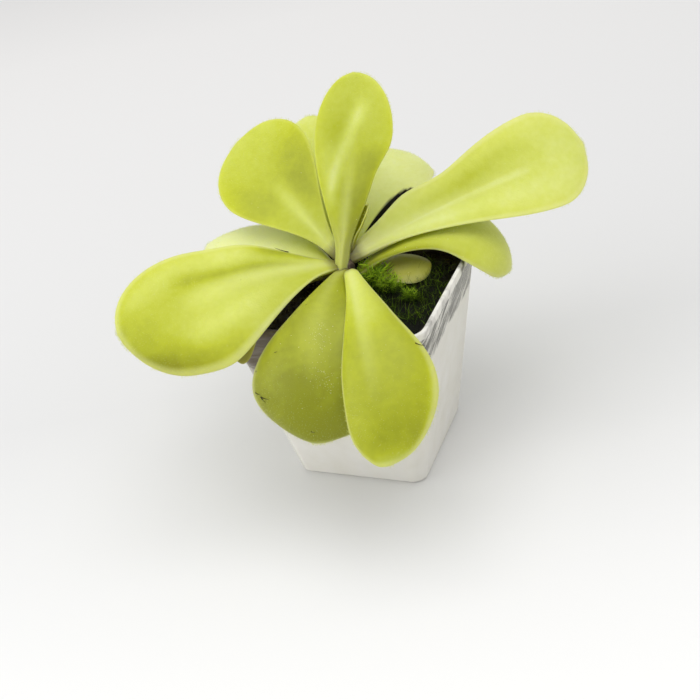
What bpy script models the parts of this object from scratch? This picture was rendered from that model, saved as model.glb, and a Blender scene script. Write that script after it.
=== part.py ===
"""Potted butterwort: a rosette of fleshy leaves on a short stem, in a small square nursery pot.

Units are metres and +Z is up. The origin is the centre of the pot's underside, and the pot's
sides are parallel to X and Y. Azimuths are in degrees, counter-clockwise from +X seen from above.
"""
import math
from typing import NamedTuple

import bmesh
import bpy
from mathutils import Matrix, Vector

MM = 0.001
GAP = 0.3 * MM  # left between pieces that touch in the real plant

# Pot: a square tapered cup with chamfered corners
POT_TOP_SIDE = 50 * MM
POT_BASE_SIDE = 34 * MM
POT_HEIGHT = 48 * MM
POT_WALL = 1.2 * MM
POT_FLOOR = 1.4 * MM
POT_RIM_BAND = 2.0 * MM
POT_RIM_STEP = 0.3 * MM
POT_FOOT_BEVEL = 0.6 * MM
CORNER_RATIO = 0.10  # corner chamfer as a share of the side
DRAIN_RADIUS = 2.2 * MM
DRAIN_OFFSET = 9.5 * MM

# Soil, moss and the stem that carries the leaves
SOIL_TOP = 43.0 * MM
SOIL_BUMP = 0.35 * MM
SOIL_WAVES = (420, 510, 900)  # radians per metre of the bumps along X, along Y and across both
SOIL_RINGS = (0.86, 0.68, 0.5, 0.32, 0.16)
SOCKET_DEPTH = 3.0 * MM
CROWN = Vector((-2.0, 1.0, 52.0)) * MM  # where the leaf bases meet
STEM_TOP_RADIUS = 2.6 * MM
STEM_BASE_RADIUS = 2.2 * MM
STEM_TOP = 54.5 * MM
MOSS_CENTRE = Vector((13.0, -1.0)) * MM
MOSS_HALF = Vector((9.5, 19.0)) * MM
MOSS_ROUNDING = 0.35  # how far the cushion's corners are drawn in
MOSS_THICKNESS = 2.2 * MM
MOSS_WAVES = (700, 560)  # radians per metre of its lumps along X and along Y

LEAF_THICKNESS = 0.8 * MM
LEAF_ROWS_TO_WIDEST = 9
LEAF_ROWS_TO_TIP = 6
LEAF_COLUMNS = 8
TIP_ANGLE = 86  # the rounded end stops just short of 90 degrees, so that its last row keeps a width


class Leaf(NamedTuple):
    """One leaf. Lengths are in millimetres, angles in degrees."""

    name: str
    azimuth: float
    length: float
    width: float
    pitch: tuple  # rise above the horizontal, at the base and at the tip
    cup: tuple  # slope of the margins across the blade, at the base and at the tip
    roll: tuple = (0, 0)  # turn about the midrib, at the base and at the tip
    radius: float = 3.2  # from the crown's axis to the leaf's base
    height: float = 0.0  # of the base above the crown point
    base_share: float = 0.14  # width of the base over the largest width
    widest: float = 0.66  # where along the leaf it is widest
    taper: float = 1.0  # under 1 fills the wedge out, over 1 draws it in
    droop: float = 1.0  # over 1 keeps the bend for the tip
    lean: float = 0.0  # how much wider the counter-clockwise half is than the other
    sweep: float = 0.0  # sideways bend from the base to the tip


LEAVES = (
    Leaf("leaf_upright", 84.5, 42, 20.6, (58, 57), (70, 20), roll=(16, 1), radius=0.5, height=3.1,
         base_share=0.15, widest=0.64, taper=0.6, lean=-0.12, sweep=7),
    Leaf("leaf_young", 60, 11, 4.5, (58, 50), (70, 50), radius=2.6, height=2.9,
         base_share=0.3, widest=0.6),
    Leaf("leaf_back_left", 146.6, 44.2, 29, (32, 18), (60, 14), roll=(-38, -36), height=1.6,
         base_share=0.12, widest=0.65, taper=0.93, lean=-0.06),
    Leaf("leaf_long_right", 37.7, 61.9, 25.8, (15, 7), (55, 10), roll=(30, 53), height=0.6,
         base_share=0.13, widest=0.81, taper=1.05),
    Leaf("leaf_long_left", 224, 53.4, 32, (16.2, -16), (31, -14), roll=(-6, -43), height=-0.4,
         widest=0.68, taper=0.7, lean=0.14),
    Leaf("leaf_front_left", 278, 49.6, 31.2, (16.8, -89), (20, -30), roll=(5, 0), height=-1.6,
         base_share=0.15, widest=0.74, taper=1.05, droop=1.2, sweep=-3.5),
    Leaf("leaf_front_right", 300, 58.8, 21, (12.5, -67), (20, -30), roll=(12, 5), height=0.8,
         base_share=0.15, widest=0.75, taper=1.3, droop=1.1, lean=0.25, sweep=-7.5),
    Leaf("leaf_low_right", 29.8, 45.2, 25.8, (18.8, -84), (21, -30), roll=(6, 19), radius=3.3,
         height=-3.2, base_share=0.11, widest=0.73, taper=1.45, droop=2.0, lean=0.18),
    Leaf("leaf_back_right", 85.6, 43.7, 26, (42, -12), (30, -10), roll=(-8, 19), height=-2.4,
         widest=0.77, taper=1.05),
    Leaf("leaf_back", 118, 50, 18, (38, 10), (30, 0), height=-0.2, widest=0.64),
    Leaf("leaf_low_left", 169, 39.9, 22.8, (17, -14), (20, -30), radius=3.4, height=-2.3,
         widest=0.61, taper=0.66, lean=0.11),
    Leaf("leaf_under_left", 229.7, 36.9, 8.1, (7.6, -91), (0, 5), roll=(0, -6), radius=3.4,
         height=-1.9, base_share=0.15, widest=0.74, taper=1.1, droop=3.3, sweep=40),
    Leaf("leaf_under_back", 148, 36, 15, (10, -6), (20, -10), radius=3.4, height=-4.6,
         base_share=0.16, widest=0.64),
    Leaf("leaf_small", 28, 13, 12.5, (-1, -1), (10, -20), radius=8.0, height=-5.0,
         base_share=0.33, widest=0.52),
)

# Colours in linear RGB
LEAF_GREEN = (0.50, 0.60, 0.07, 1)
OLD_LEAF_OLIVE = (0.20, 0.22, 0.04, 1)
STEM_BROWN = (0.30, 0.22, 0.10, 1)
SOIL_BROWN = (0.02, 0.014, 0.01, 1)
MOSS_GREEN = (0.06, 0.16, 0.01, 1)
POT_WHITE = (0.75, 0.74, 0.72, 1)
OLD_LEAVES = ("leaf_under_left", "leaf_under_back", "leaf_small")


def clear_scene():
    for obj in list(bpy.data.objects):
        bpy.data.objects.remove(obj, do_unlink=True)


def material(name, colour, roughness):
    found = bpy.data.materials.get(name)
    if found:
        return found
    new = bpy.data.materials.new(name)
    new.use_nodes = True
    shader = new.node_tree.nodes["Principled BSDF"]
    shader.inputs["Base Color"].default_value = colour
    shader.inputs["Roughness"].default_value = roughness
    new.diffuse_color = colour
    return new


def finish_object(name, bm, surface, smooth_angle=None):
    """Turns the bmesh into a named object with outward normals and its own material."""
    bmesh.ops.recalc_face_normals(bm, faces=bm.faces)
    mesh = bpy.data.meshes.new(name)
    bm.to_mesh(mesh)
    bm.free()
    mesh.materials.append(surface)
    if smooth_angle is not None:
        mesh.shade_smooth()
        mesh.set_sharp_from_angle(angle=math.radians(smooth_angle))
    obj = bpy.data.objects.new(name, mesh)
    bpy.context.scene.collection.objects.link(obj)
    return obj


def pot_side(height):
    """Outer side length of the pot's plain wall at this height."""
    return POT_BASE_SIDE + (POT_TOP_SIDE - 2 * POT_RIM_STEP - POT_BASE_SIDE) * height / POT_HEIGHT


def octagon(side):
    """Corners of a square with chamfered corners, counter-clockwise from the front left."""
    half = side / 2
    near = half - CORNER_RATIO * side
    quarter = [(-near, -half), (near, -half)]
    return [(x * c - y * s, x * s + y * c)
            for c, s in ((1, 0), (0, 1), (-1, 0), (0, -1)) for x, y in quarter]


def rounded_ring(side, steps):
    """The octagon with each long side split, as points counter-clockwise."""
    corners = octagon(side)
    ring = []
    for index, (x0, y0) in enumerate(corners):
        x1, y1 = corners[(index + 1) % len(corners)]
        parts = steps if index % 2 == 0 else 1
        ring += [(x0 + (x1 - x0) * k / parts, y0 + (y1 - y0) * k / parts) for k in range(parts)]
    return ring


def add_ring(bm, points, height):
    """Vertices of a closed loop; height is a number or a function of x and y."""
    level = height if callable(height) else lambda x, y: height
    return [bm.verts.new((x, y, level(x, y))) for x, y in points]


def bridge(bm, lower, upper):
    """A band of quads between two loops of the same count."""
    for index in range(len(lower)):
        after = (index + 1) % len(lower)
        bm.faces.new((lower[index], lower[after], upper[after], upper[index]))


def cut(target, cutter, name):
    """A Boolean difference, with the cutter hidden from renders."""
    modifier = target.modifiers.new(name, "BOOLEAN")
    modifier.operation = "DIFFERENCE"
    modifier.object = cutter
    cutter.hide_render = True
    cutter.display_type = "WIRE"


def cylinder(name, radius, low, high, x=0.0, y=0.0, sides=20):
    bm = bmesh.new()
    bmesh.ops.create_cone(bm, cap_ends=True, segments=sides, radius1=radius, radius2=radius,
                          depth=high - low, matrix=Matrix.Translation((x, y, (low + high) / 2)))
    return finish_object(name, bm, material("cutter", (1, 0, 0, 1), 0.5))


def build_pot():
    """Tapered wall with a shallow band at the rim, and four drain holes through the floor."""
    band = POT_HEIGHT - POT_RIM_BAND
    outer = [
        (POT_BASE_SIDE - 2 * POT_FOOT_BEVEL, 0.0),
        (POT_BASE_SIDE, POT_FOOT_BEVEL),
        (pot_side(band), band - POT_RIM_STEP),
        (POT_TOP_SIDE, band),
        (POT_TOP_SIDE, POT_HEIGHT),
    ]
    inner = [
        (POT_TOP_SIDE - 2 * POT_WALL, POT_HEIGHT),
        (pot_side(POT_FLOOR) - 2 * POT_WALL, POT_FLOOR),
    ]
    bm = bmesh.new()
    rings = [add_ring(bm, octagon(side), height) for side, height in outer + inner]
    for lower, upper in zip(rings, rings[1:]):
        bridge(bm, lower, upper)
    bm.faces.new(rings[0])
    bm.faces.new(rings[-1])
    pot = finish_object("pot", bm, material("pot_plastic", POT_WHITE, 0.4))
    for index, (x, y) in enumerate(((1, 1), (-1, 1), (-1, -1), (1, -1))):
        hole = cylinder(f"drain_cutter_{index}", DRAIN_RADIUS, -POT_FLOOR, 3 * POT_FLOOR,
                        x * DRAIN_OFFSET, y * DRAIN_OFFSET)
        cut(pot, hole, f"drain_{index}")
    return pot


def inner_side(height):
    """Side length of the pot's inside at this height."""
    low = pot_side(POT_FLOOR) - 2 * POT_WALL
    high = POT_TOP_SIDE - 2 * POT_WALL
    return low + (high - low) * (height - POT_FLOOR) / (POT_HEIGHT - POT_FLOOR)


def soil_level(x, y):
    """The potting mix's surface: nearly level, with low bumps."""
    along_x, along_y, across = SOIL_WAVES
    wave = math.sin(along_x * x + 1) * math.cos(along_y * y) + 0.5 * math.sin(across * (x + y))
    return SOIL_TOP + SOIL_BUMP * wave


def build_soil():
    bm = bmesh.new()
    steps = 5
    base = POT_FLOOR + GAP
    top_side = inner_side(SOIL_TOP) - 3 * GAP
    rings = [add_ring(bm, rounded_ring(inner_side(base) - 3 * GAP, steps), base),
             add_ring(bm, rounded_ring(top_side, steps), SOIL_TOP - 2 * SOIL_BUMP)]
    for share in SOIL_RINGS:
        rings.append(add_ring(bm, rounded_ring(top_side * share, steps), soil_level))
    for lower, upper in zip(rings, rings[1:]):
        bridge(bm, lower, upper)
    bm.faces.new(rings[0])
    centre = bm.verts.new((0, 0, soil_level(0, 0)))
    last = rings[-1]
    for index in range(len(last)):
        bm.faces.new((last[index], last[(index + 1) % len(last)], centre))
    soil = finish_object("soil", bm, material("potting_mix", SOIL_BROWN, 0.95), 60)
    socket = cylinder("socket_cutter", STEM_BASE_RADIUS + GAP, SOIL_TOP - SOCKET_DEPTH - GAP,
                      SOIL_TOP + 5 * MM, CROWN.x, CROWN.y)
    cut(soil, socket, "stem_socket")
    return soil


def moss_height(x, y):
    """Thickness of the moss cushion, lumpy, and thin at its edge."""
    across = (x - MOSS_CENTRE.x) / MOSS_HALF.x
    along = (y - MOSS_CENTRE.y) / MOSS_HALF.y
    edge = max(0.0, 1 - max(abs(across), abs(along)) ** 4)
    lumps = 0.75 + 0.25 * math.sin(MOSS_WAVES[0] * x) * math.cos(MOSS_WAVES[1] * y + 1)
    return MOSS_THICKNESS * (0.3 + 0.7 * edge) * lumps


def build_moss():
    """A cushion on the soil that fills the pot's right-hand side."""
    bm = bmesh.new()
    bmesh.ops.create_grid(bm, x_segments=9, y_segments=14, size=1.0)
    for vert in bm.verts:
        across = vert.co.x * math.sqrt(1 - MOSS_ROUNDING * vert.co.y**2)
        along = vert.co.y * math.sqrt(1 - MOSS_ROUNDING * vert.co.x**2)
        vert.co = (MOSS_CENTRE.x + across * MOSS_HALF.x, MOSS_CENTRE.y + along * MOSS_HALF.y, 0)
    lower = list(bm.faces)
    upper = bmesh.ops.duplicate(bm, geom=bm.faces[:] + bm.edges[:] + bm.verts[:])
    top_verts = {item for item in upper["geom"] if isinstance(item, bmesh.types.BMVert)}
    for vert in bm.verts:
        floor = soil_level(vert.co.x, vert.co.y) + GAP + SOIL_BUMP
        vert.co.z = floor + (moss_height(vert.co.x, vert.co.y) if vert in top_verts else 0)
    bmesh.ops.reverse_faces(bm, faces=lower)
    rim = [edge for edge in bm.edges if edge.is_boundary]
    bmesh.ops.bridge_loops(bm, edges=rim)
    return finish_object("moss", bm, material("moss_green", MOSS_GREEN, 0.9), 70)


def build_stem():
    """The short stem: seated in the soil, and domed where the leaves leave it."""
    profile = [
        (STEM_BASE_RADIUS, SOIL_TOP - SOCKET_DEPTH),
        (STEM_BASE_RADIUS, SOIL_TOP + 1 * MM),
        (STEM_TOP_RADIUS, SOIL_TOP + 4 * MM),
        (STEM_TOP_RADIUS, STEM_TOP - 1 * MM),
        (STEM_TOP_RADIUS * 0.6, STEM_TOP),
    ]
    sides = 16
    bm = bmesh.new()
    rings = []
    for radius, height in profile:
        circle = [(CROWN.x + radius * math.cos(2 * math.pi * k / sides),
                   CROWN.y + radius * math.sin(2 * math.pi * k / sides)) for k in range(sides)]
        rings.append(add_ring(bm, circle, height))
    for lower, upper in zip(rings, rings[1:]):
        bridge(bm, lower, upper)
    bm.faces.new(rings[0])
    bm.faces.new(rings[-1])
    return finish_object("stem", bm, material("stem_brown", STEM_BROWN, 0.6), 40)


def leaf_stations(leaf):
    """Shares of the length at which rows of the blade stand, closer round the tip."""
    body = [leaf.widest * k / LEAF_ROWS_TO_WIDEST for k in range(LEAF_ROWS_TO_WIDEST)]
    tip = [leaf.widest + (1 - leaf.widest) * math.sin(math.radians(TIP_ANGLE * k / LEAF_ROWS_TO_TIP))
           for k in range(LEAF_ROWS_TO_TIP + 1)]
    return body + tip


def half_width(leaf, share):
    """Obovate outline: a wedge from the base to the widest place, then a quarter ellipse."""
    if share < leaf.widest:
        along = share / leaf.widest
        rise = (along * along * (3 - 2 * along)) ** leaf.taper
        return leaf.width * MM / 2 * (leaf.base_share + (1 - leaf.base_share) * rise)
    past = (share - leaf.widest) / (1 - leaf.widest)
    return leaf.width * MM / 2 * math.sqrt(max(0.0, 1 - past * past))


def midrib(leaf, stations, steps=60):
    """Frames (point, along, side, up) at the stations, in the leaf's own upright plane."""
    def heading(share):
        pitch = math.radians(leaf.pitch[0] + (leaf.pitch[1] - leaf.pitch[0]) * share**leaf.droop)
        sweep = math.radians(leaf.sweep * share)
        along = Vector((math.cos(pitch) * math.cos(sweep), math.cos(pitch) * math.sin(sweep),
                        math.sin(pitch)))
        return along, Vector((-math.sin(sweep), math.cos(sweep), 0))

    step = leaf.length * MM / steps
    points = [Vector((leaf.radius, 0, leaf.height)) * MM]
    for index in range(steps):
        points.append(points[-1] + heading(index / steps)[0] * step)
    frames = []
    for share in stations:
        index = min(int(share * steps), steps - 1)
        point = points[index].lerp(points[index + 1], share * steps - index)
        along, side = heading(share)
        up = along.cross(side)
        roll = math.radians(leaf.roll[0] + (leaf.roll[1] - leaf.roll[0]) * share)
        frames.append((point, math.cos(roll) * side + math.sin(roll) * up,
                       math.cos(roll) * up - math.sin(roll) * side))
    return frames


def build_leaf(leaf):
    """A grid bent along the midrib and cupped across it, then given its thickness."""
    stations = leaf_stations(leaf)
    frames = midrib(leaf, stations)
    place = Matrix.Translation(CROWN) @ Matrix.Rotation(math.radians(leaf.azimuth), 4, "Z")
    bm = bmesh.new()
    bmesh.ops.create_grid(bm, x_segments=len(stations) - 1, y_segments=LEAF_COLUMNS, size=1.0)
    for vert in bm.verts:
        row = round((vert.co.x + 1) / 2 * (len(stations) - 1))
        across = vert.co.y
        share = stations[row]
        point, side, up = frames[row]
        reach = half_width(leaf, share) * (1 + math.copysign(leaf.lean, across))
        cup = math.radians(leaf.cup[0] + (leaf.cup[1] - leaf.cup[0]) * share)
        if abs(cup) < 0.001:
            offset = side * across * reach
        else:
            offset = (side * math.sin(cup * across) + up * (1 - math.cos(cup * across))) * reach / cup
        vert.co = place @ (point + offset)
    old = leaf.name in OLD_LEAVES
    surface = material("old_leaf", OLD_LEAF_OLIVE, 0.5) if old else material("leaf", LEAF_GREEN, 0.45)
    obj = finish_object(leaf.name, bm, surface, 60)
    solid = obj.modifiers.new("thickness", "SOLIDIFY")
    solid.thickness = LEAF_THICKNESS
    solid.offset = 0.0
    return obj


clear_scene()
build_pot()
build_soil()
build_moss()
build_stem()
for entry in LEAVES:
    build_leaf(entry)
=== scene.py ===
"""Potted butterwort: the looks of the plant and its pot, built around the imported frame.

Lengths are in metres, or in millimetres where they are multiplied by MM. +Z is up, and the origin
is the centre of the pot's underside.
"""

import math
import random
from typing import NamedTuple

import bmesh
import bpy
import numpy as np
from mathutils import Matrix, Vector


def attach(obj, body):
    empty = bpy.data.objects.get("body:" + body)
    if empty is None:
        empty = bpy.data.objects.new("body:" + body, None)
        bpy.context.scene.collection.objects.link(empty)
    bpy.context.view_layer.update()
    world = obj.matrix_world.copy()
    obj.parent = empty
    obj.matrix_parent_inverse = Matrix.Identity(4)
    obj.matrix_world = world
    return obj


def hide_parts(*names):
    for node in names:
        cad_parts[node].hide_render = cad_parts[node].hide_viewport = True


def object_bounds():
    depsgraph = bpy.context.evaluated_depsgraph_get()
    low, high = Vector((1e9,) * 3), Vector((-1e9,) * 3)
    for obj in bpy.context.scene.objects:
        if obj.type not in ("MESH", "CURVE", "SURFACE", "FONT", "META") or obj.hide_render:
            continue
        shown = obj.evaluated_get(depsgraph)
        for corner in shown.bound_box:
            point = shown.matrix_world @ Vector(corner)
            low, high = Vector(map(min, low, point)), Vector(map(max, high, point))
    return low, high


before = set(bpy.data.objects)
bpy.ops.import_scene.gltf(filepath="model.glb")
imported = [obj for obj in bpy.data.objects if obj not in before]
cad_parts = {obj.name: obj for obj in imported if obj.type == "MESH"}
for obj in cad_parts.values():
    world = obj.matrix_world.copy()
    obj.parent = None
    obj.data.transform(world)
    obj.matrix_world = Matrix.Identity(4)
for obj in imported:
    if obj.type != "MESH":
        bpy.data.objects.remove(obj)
cad_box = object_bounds()

MM = 0.001
BODY = "root"
ORIGIN = (0.0, 0.0, 0.0)

# Pot
POT_TOP_SIDE = 50 * MM
POT_BASE_SIDE = 34 * MM
POT_HEIGHT = 48 * MM
POT_WALL = 1.0 * MM
POT_FLOOR = 1.4 * MM
POT_RIM_BAND = 2.0 * MM
POT_RIM_STEP = 0.3 * MM
POT_FOOT = 0.6 * MM
POT_CORNER = 3.4 * MM  # corner radius at the foot
POT_FOOT_RING = 1.6 * MM
POT_RECESS = 0.5 * MM  # of the underside, inside the foot ring
POT_LIP = 0.28 * MM  # rounding of the rim's edges
CORNERS = ((1, 1), (-1, 1), (-1, -1), (1, -1))
DRAIN_RADIUS = 2.2 * MM
DRAIN_OFFSET = 9.5 * MM

# Soil, moss and crown
SOIL_TOP = 43.2 * MM
SOIL_SIDE = 45.6 * MM
SOIL_GAP = 0.4 * MM  # between the block's underside and the pot's floor
SOIL_CUT = 0.455  # where its corners are cut, as a share of its side
SOIL_EASE = 1.2 * MM  # how much narrower its underside is than the pot's floor
CRUMBS = 1100
CROWN = Vector((-2.0, 1.0, 52.0)) * MM
STEM_RADIUS = 2.1 * MM
STEM_TOP = 53.4 * MM
STEM_SEAT = 2.0 * MM  # how deep the stem stands in the soil
STEM_RINGS = 9
MOSS_CENTRE = Vector((12.6, -1.0)) * MM
MOSS_HALF = Vector((9.4, 19.0)) * MM
MOSS_SEAT = 0.5 * MM  # how deep the cushion stands in the soil
MOSS_THICKNESS = 1.4 * MM
MOSS_EDGE = 1.2 * MM  # how much lower its edge is than its middle
MOSS_ROOT = 0.6 * MM  # height over the soil at which the shoots start, in the middle
YOUNG_MOSS = (Vector((2.4, 4.8)) * MM, Vector((9.0, 2.4)) * MM)  # line that it grows along
YOUNG_SPREAD = 2.7 * MM
MOSS_TUFT = Vector((14.8, -2.2)) * MM
TUFT_SPREAD = 2.0 * MM
YOUNG_SHOOTS = 950
OLD_THREADS = 1500
SHOOT_HEIGHT = (1.8 * MM, 2.8 * MM)
THREAD_LENGTH = (1.8 * MM, 4.2 * MM)
TALL_REACH = 4 * MM  # how far from the crown the shoots stand taller
THREAD_GREENS = (0.03, 0.08, 0.2, 0.36, 0.6)  # from old dark threads to green ones

# Leaves
BODY_ROWS = 9
TIP_ROWS = 6
COLUMNS = 10
TIP_ANGLE = 86
FOOT_RUNS = (1.0, 0.5)  # rows of the foot, as shares of its run into the crown
FOOT_BLEND = 0.25  # share of the length over which the foot's width gives way to the blade's
FOOT_TAPER = 0.3  # how much narrower the hidden end of the foot is
DIVE_RUN = 0.02  # share of the length over which a hidden foot turns down
FLARE_IN, FLARE_OUT = 0.15, 0.2  # shares of the length over which a flare sets in and ends
RIM_FLESH, BLADE_FLESH, FOOT_FLESH = 0.1, 0.34, 0.75  # shares of the foot's thickness, added up
STREAK_EDGE = 0.08  # half the share of the length over which a painted streak sets in and ends
TINGE_SHADE_REACH = 3.2  # millimetres over which the foot's brown tinge and painted crease shade fade
TINGE_SHADE_DEPTH = 2.4  # millimetres of the foot's run into the crown that the tinge and painted shade may take up
RELIEF = 4.0  # millimetres of relief that a full weight stands for
RIPPLE = 0.8 * MM
DROP_RADIUS = (0.04 * MM, 0.09 * MM)
FIBRE_WIDTH = 1.6 * MM  # scale across a fibre, which sets how thick it is and how far it bows
FIBRE_LIFT, SCRAP_LIFT = 0.12 * MM, 0.3 * MM  # over the leaf
SCRAP_WIDTH, SCRAP_THICKNESS = 1.5 * MM, 0.9 * MM

# Camera, in degrees, and how far its axis passes from the pot's middle
VIEW_AZIMUTH, VIEW_ELEVATION, VIEW_ROLL = 26.48, 31.67, -11.01
VIEW_DISTANCE, VIEW_LEFT, VIEW_RAISED = 264.66 * MM, 4.59 * MM, 2.86 * MM


class Pile(NamedTuple):
    """Stalked glands: how many to a square millimetre, length, scale across, and lean."""

    per_mm2: float
    length: float
    width: float
    lean: float


FACE_PILE = Pile(2.0, 0.4 * MM, 0.4 * MM, 0.25)
RIM_PILE = Pile(22.0, 0.6 * MM, 0.5 * MM, 0.4)
RIM_FROM = 0.97  # how far along or across the blade's grid the margin starts
PILE_ROOM = RIM_PILE.length / 3  # how far the outline is drawn in for the hairs


class Leaf(NamedTuple):
    """One leaf, in millimetres and degrees: its shape, close to its CAD node's, and its looks."""

    name: str
    azimuth: float
    length: float
    width: float
    pitch: tuple
    cup: tuple
    roll: tuple = (0, 0)
    radius: float = 3.2
    height: float = 0.0
    base_share: float = 0.14
    widest: float = 0.66
    taper: float = 1.0
    droop: float = 1.0
    lean: float = 0.0
    sweep: float = 0.0
    tone: tuple = (0.7, 0.5, 0.5)  # foot, middle and tip: 0 is deep green, 1 is pale cream; own tone with painted light and shade in it, and above 1 painted light
    band: float = 0.6  # strength of the pale band along the midrib
    pillow: tuple = (1.2, 1.2)  # height of the middle over the right and left margins
    groove: tuple = (0.4, 0.0, 0.25)  # depth, place across and half width of the channel
    foot: tuple = (2.4, 0.0, 2.3)  # run into the crown, least width and thickness of the foot
    dew: int = 8  # drops of mucilage large enough to see
    flares: tuple = ()  # widenings of one half: amount, side, and where it starts and ends
    light_shade_streaks: tuple = ()  # painted highlights, fold shade and cast shadow as paler or deeper streaks: tone, across at start and end, half width, run
    beads: tuple = ()  # patches of dew: share, across, spread in millimetres, count
    trim: float = 0.0  # share of the length that stays hidden in the crown
    dive: float = 0.0  # how much steeper the foot runs where it is hidden, in degrees
    cream: float = 0.5  # how pale the foot is
    glow: float = 1.0  # how much painted glow of light the thin margin gets
    foot_tinge_shade: float = 1.0  # strength of the brown tinge and painted crease shade at the foot
    painted_slit_shade: bool = False  # painted shade: a dark strip along the right margin stands in for the shaded slit beside it
    # a lower leaf: thinner, without glands, and in a darker palette that is painted shade
    old: bool = False


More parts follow.
